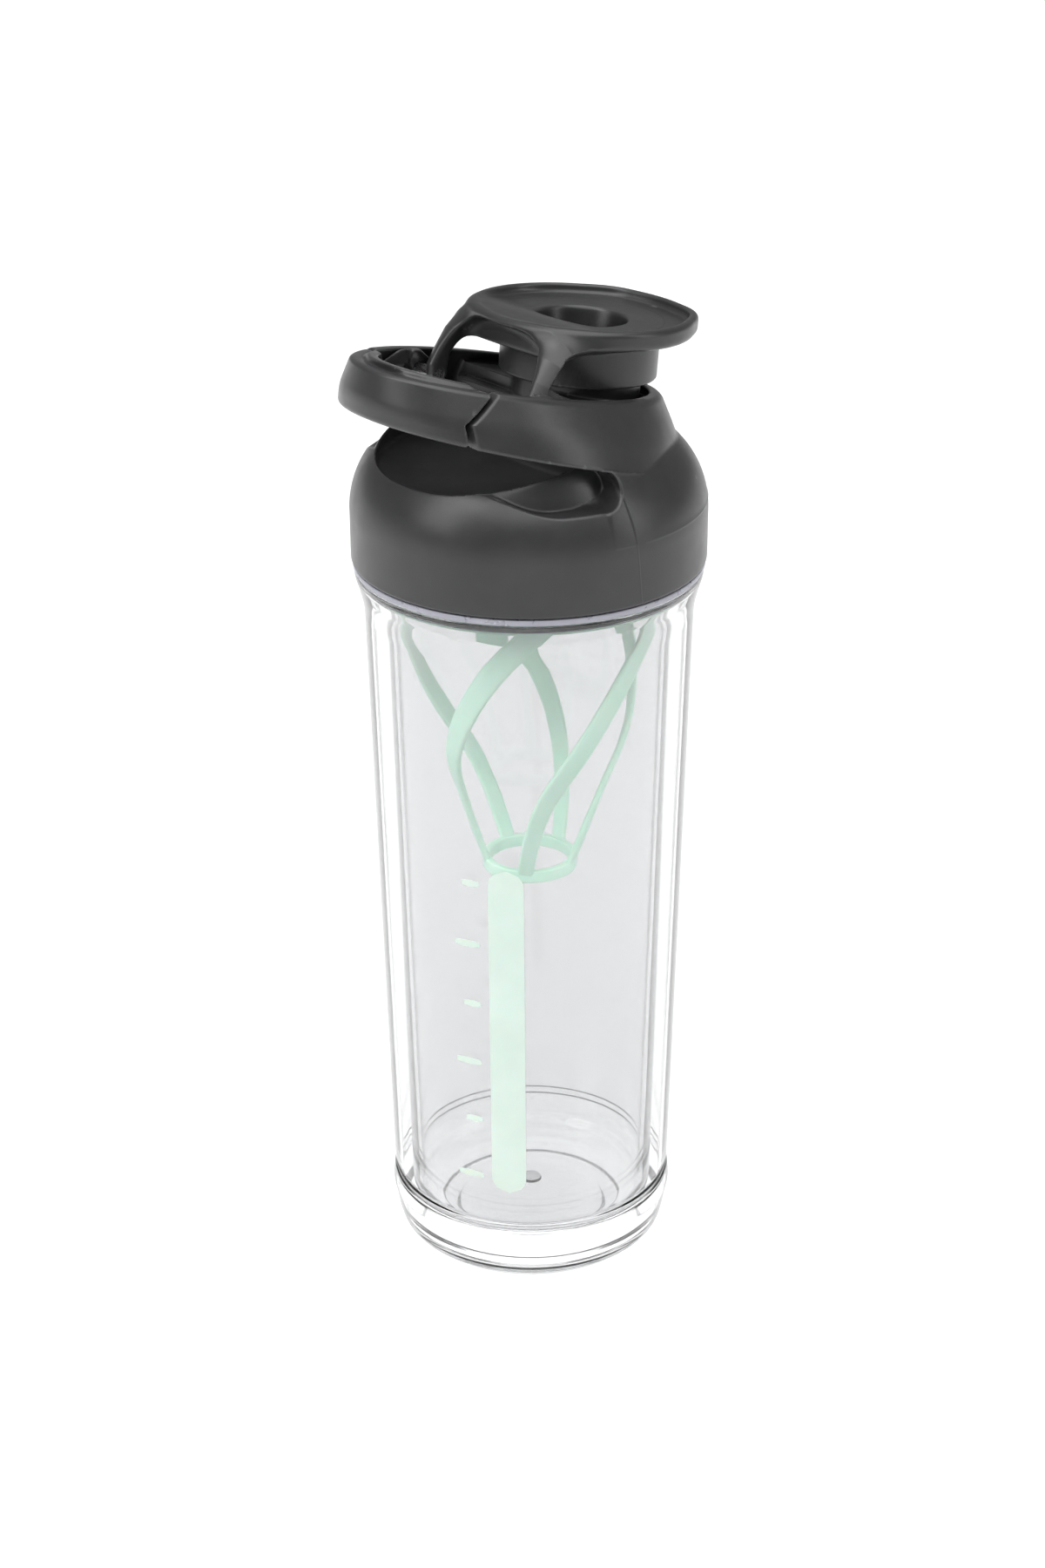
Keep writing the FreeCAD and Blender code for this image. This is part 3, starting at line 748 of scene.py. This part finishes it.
def charcoal_plastic():
    """Spark-textured moulded plastic with faint handling marks, painted highlights on its edges, painted shade
    in the finger recess, and mould seams.
    """
    n = Nodes("charcoal_plastic")
    cloud = n.noise(14.0, 2.0)
    grain = n.noise(0.32, 2.0, 0.7)
    base = n.ramp(cloud, (0.020, 0.020, 0.021), (0.026, 0.026, 0.027))
    # painted highlight: sharp edges above the skirt are coloured lighter, found from the mesh's pointiness
    point = n.tree.nodes.new("ShaderNodeNewGeometry").outputs["Pointiness"]
    painted_edge_highlight = n.ramp(point, 0.0, 0.55, 0.515, 0.60)
    above_skirt = n.ramp(n.axis("Z"), 0.0, 1.0, 216.0 * MM, 218.0 * MM)
    colour = n.mix(n.math("MULTIPLY", painted_edge_highlight, above_skirt), base, (0.100, 0.100, 0.102))
    # painted shade: the inside of the finger recess is coloured darker, so that it reads as deep
    along = n.math("SUBTRACT", n.axis("X"), PLATE_X * MM)
    squares = n.math("ADD", n.math("POWER", along, 2.0), n.math("POWER", n.axis("Y"), 2.0))
    near = n.ramp(n.math("SQRT", squares), 1.0, 0.0, (RECESS_R - 0.4) * MM, (RECESS_R + 0.4) * MM)
    level = n.math("ADD", n.axis("Z"), n.math("MULTIPLY", along, math.tan(PLATE_TILT)))
    low = n.ramp(level, 1.0, 0.0, (PLATE_Z - 2.7) * MM, (PLATE_Z - 1.0) * MM)
    colour = n.mix(n.math("MULTIPLY", near, low), colour, (0.006, 0.006, 0.006))
    n.link(colour, n.shader.inputs["Base Color"])
    rough = n.ramp(n.noise(6.0, 3.0), 0.30, 0.37)
    n.link(rough, n.shader.inputs["Roughness"])
    normal = n.bump(grain, 0.018)
    # mould seam on each side of the skirt, in front of the slots
    lean = n.math("MULTIPLY", n.axis("Z"), -0.1)
    off = n.math("ABSOLUTE", n.math("SUBTRACT", n.axis("X"), n.math("ADD", lean, 17.6 * MM)))
    seam = n.ramp(off, 1.0, 0.0, 0.0, 0.3 * MM)
    under_slot = n.ramp(n.axis("Z"), 1.0, 0.0, 224.5 * MM, 225.5 * MM)
    outside = n.ramp(n.math("ABSOLUTE", n.axis("Y")), 0.0, 1.0, 34.0 * MM, 35.0 * MM)
    height = n.math("MULTIPLY", n.math("MULTIPLY", seam, under_slot), outside)
    normal = n.bump(height, 0.06, normal)
    n.link(normal, n.shader.inputs["Normal"])
    return n.set(Specular_IOR_Level=0.5).material


def clear_plastic(name, tint, edge_on_shade_tint, ripple):
    """Clear moulded copolyester: gloss, faint flow lines, and painted shade where a wall is seen edge on."""
    n = Nodes(name)
    weight = n.tree.nodes.new("ShaderNodeLayerWeight")
    weight.inputs["Blend"].default_value = 0.5
    edge = n.ramp(weight.outputs["Facing"], 0.0, 1.0, 0.74, 0.95)
    # painted shade: where a wall is seen edge on, it lets less light through and takes the darker edge-on
    # colour
    n.link(n.ramp(edge, 1.0, 0.3, 0.0, 1.0), n.shader.inputs["Transmission Weight"])
    n.link(n.ramp(edge, 1.5, 1.08, 0.0, 1.0), n.shader.inputs["IOR"])
    n.link(n.mix(edge, tint, edge_on_shade_tint), n.shader.inputs["Base Color"])
    flow = n.noise(9.0, 2.0, 0.5, (1.0, 1.0, 0.12))
    n.link(n.bump(flow, ripple), n.shader.inputs["Normal"])
    n.link(n.ramp(n.noise(20.0, 2.0), 0.012, 0.035), n.shader.inputs["Roughness"])
    return n.material


def mint_plastic():
    """Satin mint polypropylene with a faint drift of tone and a little light through it."""
    n = Nodes("mint_plastic")
    tone = n.noise(9.0, 2.0)
    n.link(n.ramp(tone, (0.60, 0.91, 0.735), (0.65, 0.94, 0.785)), n.shader.inputs["Base Color"])
    n.link(n.ramp(n.noise(3.0, 3.0), 0.33, 0.45), n.shader.inputs["Roughness"])
    n.link(n.bump(n.noise(0.5, 2.0), 0.01), n.shader.inputs["Normal"])
    n.set(Subsurface_Weight=0.25, Subsurface_Scale=0.002)
    return n.material


def print_ink():
    """Pale mint screen-print ink: satin, with a fine orange-peel surface, and a little light through it."""
    n = Nodes("print_ink")
    tone = n.noise(12.0, 2.0)
    n.link(n.ramp(tone, (0.58, 0.67, 0.61), (0.62, 0.71, 0.65)), n.shader.inputs["Base Color"])
    n.link(n.ramp(n.noise(2.0, 3.0), 0.42, 0.55), n.shader.inputs["Roughness"])
    n.link(n.bump(n.noise(0.35, 2.0), 0.006), n.shader.inputs["Normal"])
    return n.set(Subsurface_Weight=0.3, Subsurface_Scale=0.001).material


def grey_ring():
    n = Nodes("grey_ring")
    n.link(n.ramp(n.noise(6.0), (0.42, 0.42, 0.49), (0.50, 0.50, 0.57)), n.shader.inputs["Base Color"])
    n.link(n.ramp(n.noise(3.0), 0.25, 0.35), n.shader.inputs["Roughness"])
    n.link(n.bump(n.noise(0.8), 0.01), n.shader.inputs["Normal"])
    return n.set(Transmission_Weight=0.35).material


def silicone():
    n = Nodes("silicone")
    n.link(n.ramp(n.noise(5.0), (0.62, 0.63, 0.63), (0.70, 0.71, 0.71)), n.shader.inputs["Base Color"])
    n.link(n.ramp(n.noise(2.0), 0.55, 0.68), n.shader.inputs["Roughness"])
    n.link(n.bump(n.noise(0.4), 0.02), n.shader.inputs["Normal"])
    return n.set(Subsurface_Weight=0.1, Subsurface_Scale=0.001).material


def pin_steel():
    n = Nodes("pin_steel")
    n.link(n.ramp(n.noise(2.0), (0.50, 0.50, 0.51), (0.62, 0.62, 0.63)), n.shader.inputs["Base Color"])
    n.link(n.ramp(n.noise(0.6, stretch=(1.0, 0.1, 1.0)), 0.22, 0.36), n.shader.inputs["Roughness"])
    n.link(n.bump(n.noise(0.2, stretch=(1.0, 0.1, 1.0)), 0.004), n.shader.inputs["Normal"])
    return n.set(Metallic=1.0).material


def floor_white():
    n = Nodes("studio_floor")
    n.link(n.ramp(n.noise(300.0), (0.90, 0.90, 0.90), (0.92, 0.92, 0.92)), n.shader.inputs["Base Color"])
    return n.set(Roughness=0.8, Specular_IOR_Level=0.1).material


# ---------------------------------------------------------------- the clear cup
SHELL_LOW_R = 38.1       # tapered part of the cup, from just above the seam up to the shoulder
SHELL_LOW_Z = 20.6
SHOULDER_R = 42.0
SHOULDER_Z = 184.0


def outer_cup():
    """Outer shell and base cup as one clear solid: weld seam with two fine grooves, thick rounded base."""
    outline = [(0.0, 0.0), (20.0, 0.0), (21.0, 0.9), (25.0, 0.9), (26.0, 0.05), (31.0, 0.05), (34.4, 0.9),
               (36.6, 3.0), (37.5, 6.6), (38.35, 11.6), (38.6, 13.0), (38.15, 17.2), (37.55, 17.7),
               (37.95, 18.3), (38.1, 19.2), (37.6, 19.9), (SHELL_LOW_R, SHELL_LOW_Z)]
    outline += [(SHOULDER_R, SHOULDER_Z), (42.35, 187.2), (43.2, 190.5), (44.3, 194.3), (44.3, 196.0),
                (38.2, 196.0), (38.2, 194.1), (42.2, 194.0), (41.1, 191.0), (40.3, 187.6), (40.0, SHOULDER_Z)]
    outline += [(36.1, 21.0), (35.7, 8.6), (33.2, 5.0), (0.0, 4.8)]
    return turned(rounded(outline, 0.7))


def liner():
    """Inner cup with a thin wall, ledge for the whisk and threaded neck."""
    outline = [(0.0, 9.0), (26.5, 9.0), (30.4, 10.2), (32.3, 13.4), (32.6, 17.0)]
    outline += [(36.0, 188.0), (37.2, 191.0), (37.9, 193.9), (37.9, 196.1), (38.4, 197.5), (38.4, 211.0),
                (36.0, 211.0), (35.6, 197.0), (35.4, 194.0), (33.9, 193.5), (33.9, 191.4)]
    outline += [(30.6, 18.0), (30.2, 14.6), (28.2, 12.2), (25.4, 11.3), (0.0, 11.2)]
    ridges = [thread_ridge(start) for start in (0.0, 180.0)]
    return join_lists([turned(rounded(outline, 0.6))] + ridges)


def gate_mark():
    """Small raised disc that injection moulding leaves in the middle of the liner's floor."""
    outline = [(0.0, 11.35), (2.9, 11.35), (2.6, 12.1), (1.7, 11.8), (0.0, 11.75)]
    return turned(rounded(outline, 0.2), 48)


# ---------------------------------------------------------------- the print
PRINT_ANGLE = -139.0     # middle of the print, in degrees round the cup
PRINT_LOW_Z = 30.0
PRINT_HIGH_Z = 128.0
PRINT_HALF = 4.6
TICKS = 6
SHORT_TICK = 4.6
LONG_TICK = 7.0
TICK_GAP = 2.4           # between the bar and its ticks
INK_OUT = 0.07           # outer and inner face of the ink, above the cup's own surface
INK_IN = 0.01


def shell_radius(z):
    """Outside radius of the tapered part of the cup."""
    return SHELL_LOW_R + (SHOULDER_R - SHELL_LOW_R) * (z - SHELL_LOW_Z) / (SHOULDER_Z - SHELL_LOW_Z)


def printed_bar(angle, z0, z1, half, ends, rows=72, columns=16):
    """Thin closed patch of ink on the cup, with rounded ends of the given height."""
    outer, inner = [], []
    for i in range(rows + 1):
        z = z0 + (z1 - z0) * i / rows
        near = min(z - z0, z1 - z, ends) / ends
        width = half * math.sqrt(max(1.0 - (1.0 - near) ** 2, 0.0004))
        r = shell_radius(z)
        for j in range(columns + 1):
            a = math.radians(angle) + width * (2.0 * j / columns - 1.0) / r
            outer.append(((r + INK_OUT) * math.cos(a) * MM, (r + INK_OUT) * math.sin(a) * MM, z * MM))
            inner.append(((r + INK_IN) * math.cos(a) * MM, (r + INK_IN) * math.sin(a) * MM, z * MM))
    wide = columns + 1
    shift = len(outer)
    faces = []
    for i in range(rows):
        for j in range(columns):
            a, b = i * wide + j, i * wide + j + 1
            faces.append([a, b, b + wide, a + wide])
            faces.append([shift + a, shift + a + wide, shift + b + wide, shift + b])
    border = [j for j in range(wide)] + [i * wide + columns for i in range(1, rows + 1)]
    border += [rows * wide + j for j in range(columns - 1, -1, -1)]
    border += [i * wide for i in range(rows - 1, 0, -1)]
    for k in range(len(border)):
        a, b = border[k], border[(k + 1) % len(border)]
        faces.append([a, shift + a, shift + b, b])
    return outer + inner, faces


def fill_scale():
    """Plain upright bar with evenly spaced ticks beside it."""
    pieces = [printed_bar(PRINT_ANGLE, PRINT_LOW_Z, PRINT_HIGH_Z, PRINT_HALF, PRINT_HALF)]
    for k in range(TICKS):
        z = PRINT_LOW_Z + PRINT_HALF + (PRINT_HIGH_Z - PRINT_LOW_Z - 2 * PRINT_HALF) * k / (TICKS - 1)
        length = SHORT_TICK if k % 2 else LONG_TICK
        middle = PRINT_ANGLE - math.degrees((PRINT_HALF + TICK_GAP + length / 2) / shell_radius(z))
        pieces.append(printed_bar(middle, z - 1.0, z + 1.0, length / 2, 0.5, rows=8, columns=12))
    return join_lists(pieces)


# ---------------------------------------------------------------- build
SHARP_ANGLE = 35.0       # above this angle, edges of the turned and swept parts are shaded as sharp


def add(name, data, material, body, replaces=()):
    obj = data if isinstance(data, bpy.types.Object) else make_object(name, *data, SHARP_ANGLE)
    obj.data.materials.clear()
    obj.data.materials.append(material)
    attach(obj, body)
    if replaces:
        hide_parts(*replaces)
    return obj


def build_object(nodes):
    charcoal = charcoal_plastic()
    lid = mesh_from_field("lid_shell", lid_field, (-56.0, 0.0, 196.0), (47.0, 47.0, 257.0), 0.45)
    add("lid_shell", lid, charcoal, "lid", ["lid_body"])
    loop = mesh_from_field("loop_band", loop_field, (-56.0, 0.0, 234.0), (-8.0, 40.0, 260.0), 0.5)
    add("loop_band", loop, charcoal, "lid", ["carry_loop"])
    flip = mesh_from_field("flip_lid", flip_field, (-22.0, 0.0, 237.0), (50.0, 32.0, 262.0), 0.5)
    add("flip_lid", flip, charcoal, "flip", ["flip_cap"])

    cup = clear_plastic("clear_plastic", (0.865, 0.868, 0.872), (0.30, 0.305, 0.32), 0.02)
    inner = clear_plastic("clear_liner", (0.875, 0.878, 0.882), (0.36, 0.365, 0.38), 0.02)
    add("cup_shell", outer_cup(), cup, "bottle", ["outer_shell", "base_cup"])
    add("cup_liner", liner(), inner, "bottle", ["inner_liner"])
    add("liner_gate", gate_mark(), inner, "bottle")
    for name in ("cup_shell", "cup_liner", "liner_gate"):
        bpy.data.objects[name].visible_shadow = False
    add("fill_scale", fill_scale(), print_ink(), "bottle")

    ring = rounded([(38.7, 196.2), (44.6, 196.2), (44.6, 197.7), (38.7, 197.7)], 0.4)
    add("neck_band", turned(ring), grey_ring(), "bottle", ["neck_ring"])
    gasket = rounded([(35.9, 211.1), (38.6, 211.1), (38.6, 213.4), (35.9, 213.4)], 0.6)
    soft = silicone()
    add("gasket_ring", turned(gasket), soft, "gasket", ["lid_gasket"])

    mint = mint_plastic()
    holder = [(31.4, 190.5), (33.3, 190.5), (33.3, 194.3), (34.8, 194.3), (34.8, 197.0), (31.4, 197.0)]
    add("whisk_holder", turned(rounded(holder, 0.5)), mint, "whisk", ["whisk_ring"])
    low_ring = rounded([(10.4, 111.4), (12.4, 111.4), (12.4, 114.8), (10.4, 114.8)], 0.5)
    add("whisk_low_ring", turned(low_ring, 96), mint, "whisk", ["whisk_foot"])
    for index in range(WHISK_RIBS):
        name = f"whisk_rib_{index + 1}"
        add(f"ribbon_{index + 1}", whisk_ribbon(index), mint, "whisk", [name])

    carried_over = {"spout_seal": soft, "hinge_pin_left": pin_steel(), "hinge_pin_right": pin_steel()}
    for name, material in carried_over.items():
        nodes[name].data.materials.clear()
        nodes[name].data.materials.append(material)


# ---------------------------------------------------------------- studio and camera
CAMERA_AZIMUTH = -40.0
CAMERA_LENS = 64.0
CAMERA_DISTANCE = 0.65981
CAMERA_HEIGHT = 0.45287
CAMERA_PITCH = 25.868
CAMERA_OFFSET = -0.001928
CAMERA_ROLL = -0.276
FLOOR_HALF = 6.0
FLOOR_Z = -0.0002        # just under the bottle
BACKDROP_R = 5500.0
BACKDROP_LOW = -10.0
BACKDROP_HIGH = 6000.0
WORLD_STRENGTH = 0.26
SKY_STRENGTH = 2.9
SKY_SPREAD = 70.0        # degrees
SKY_TURN = (12.0, -14.0, 0.0)


def camera_axes():
    azimuth = math.radians(CAMERA_AZIMUTH)
    right = Vector((math.cos(azimuth), math.sin(azimuth), 0.0))
    forward = Vector((-math.sin(azimuth), math.cos(azimuth), 0.0))
    return right, forward


def add_camera():
    right, forward = camera_axes()
    data = bpy.data.cameras.new("camera")
    data.lens = CAMERA_LENS
    data.sensor_width = 36.0
    data.clip_start = 0.01
    data.clip_end = 50.0
    camera = bpy.data.objects.new("camera", data)
    camera.location = right * CAMERA_OFFSET - forward * CAMERA_DISTANCE + Vector((0.0, 0.0, CAMERA_HEIGHT))
    turn = Euler((math.radians(90.0 - CAMERA_PITCH), 0.0, math.radians(CAMERA_AZIMUTH)), "XYZ").to_matrix()
    roll = Euler((0.0, 0.0, math.radians(CAMERA_ROLL)), "XYZ").to_matrix()
    camera.rotation_euler = (turn @ roll).to_euler()
    bpy.context.scene.collection.objects.link(camera)
    bpy.context.scene.camera = camera


def add_light(name, bearing, elevation, distance, size, power):
    """Soft box aimed at the bottle. The bearing is in degrees from the camera's side, positive to its right."""
    right, forward = camera_axes()
    b, e = math.radians(bearing), math.radians(elevation)
    level = right * math.sin(b) - forward * math.cos(b)
    target = Vector((0.0, 0.0, 0.15))
    data = bpy.data.lights.new(name, "AREA")
    data.shape = "RECTANGLE"
    data.size, data.size_y = size
    data.energy = power
    light = bpy.data.objects.new(name, data)
    light.location = target + (level * math.cos(e) + Vector((0.0, 0.0, math.sin(e)))) * distance
    light.rotation_euler = (target - light.location).to_track_quat("-Z", "Y").to_euler()
    bpy.context.scene.collection.objects.link(light)


def backdrop_white():
    n = Nodes("backdrop_white")
    n.set(Base_Color=(0.0, 0.0, 0.0, 1.0), Roughness=1.0)
    return n.set(Emission_Color=(1.0, 1.0, 1.0, 1.0), Emission_Strength=1.0).material


def add_backdrop():
    """White wall round the floor, instead of a grey horizon. It is seen directly and through the clear parts,
    and lights nothing.
    """
    inner, outer = BACKDROP_R, BACKDROP_R + 50.0
    outline = [(inner, BACKDROP_LOW), (outer, BACKDROP_LOW), (outer, BACKDROP_HIGH), (inner, BACKDROP_HIGH)]
    wall = make_object("backdrop", *turned(outline, 64))
    wall.data.materials.append(backdrop_white())
    wall.visible_diffuse = False
    wall.visible_glossy = False
    wall.visible_shadow = False


def add_studio():
    corners = [(x * FLOOR_HALF, y * FLOOR_HALF, 0.0) for x, y in ((-1, -1), (1, -1), (1, 1), (-1, 1))]
    floor = make_object("studio_floor", corners, [[0, 1, 2, 3]])
    floor.location.z = FLOOR_Z
    floor.data.materials.append(floor_white())
    add_backdrop()
    world = bpy.data.worlds.new("studio")
    bpy.context.scene.world = world
    world.use_nodes = True
    background = world.node_tree.nodes["Background"]
    background.inputs["Color"].default_value = (1.0, 1.0, 1.0, 1.0)
    background.inputs["Strength"].default_value = WORLD_STRENGTH
    add_light("key_left", bearing=-62.0, elevation=38.0, distance=1.3, size=(0.5, 1.1), power=6.5)
    add_light("fill_right", bearing=70.0, elevation=25.0, distance=1.4, size=(0.30, 1.1), power=3.6)
    add_light("overhead", bearing=170.0, elevation=65.0, distance=1.5, size=(0.9, 0.7), power=4.0)
    sun = bpy.data.lights.new("sky_panel", "SUN")
    sun.energy = SKY_STRENGTH
    sun.angle = math.radians(SKY_SPREAD)
    sky = bpy.data.objects.new("sky_panel", sun)
    sky.rotation_euler = [math.radians(turn) for turn in SKY_TURN]
    bpy.context.scene.collection.objects.link(sky)
    scene = bpy.context.scene
    scene.view_settings.view_transform = "Standard"
    scene.view_settings.look = "None"
    scene.view_settings.exposure = 0.0


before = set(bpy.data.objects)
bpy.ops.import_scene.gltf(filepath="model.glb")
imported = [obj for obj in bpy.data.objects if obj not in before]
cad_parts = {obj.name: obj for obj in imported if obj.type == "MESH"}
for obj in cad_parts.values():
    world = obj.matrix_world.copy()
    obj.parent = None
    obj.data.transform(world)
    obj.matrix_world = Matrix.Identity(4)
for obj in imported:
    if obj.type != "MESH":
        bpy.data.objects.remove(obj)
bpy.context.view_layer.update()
build_object(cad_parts)
add_studio()
add_camera()
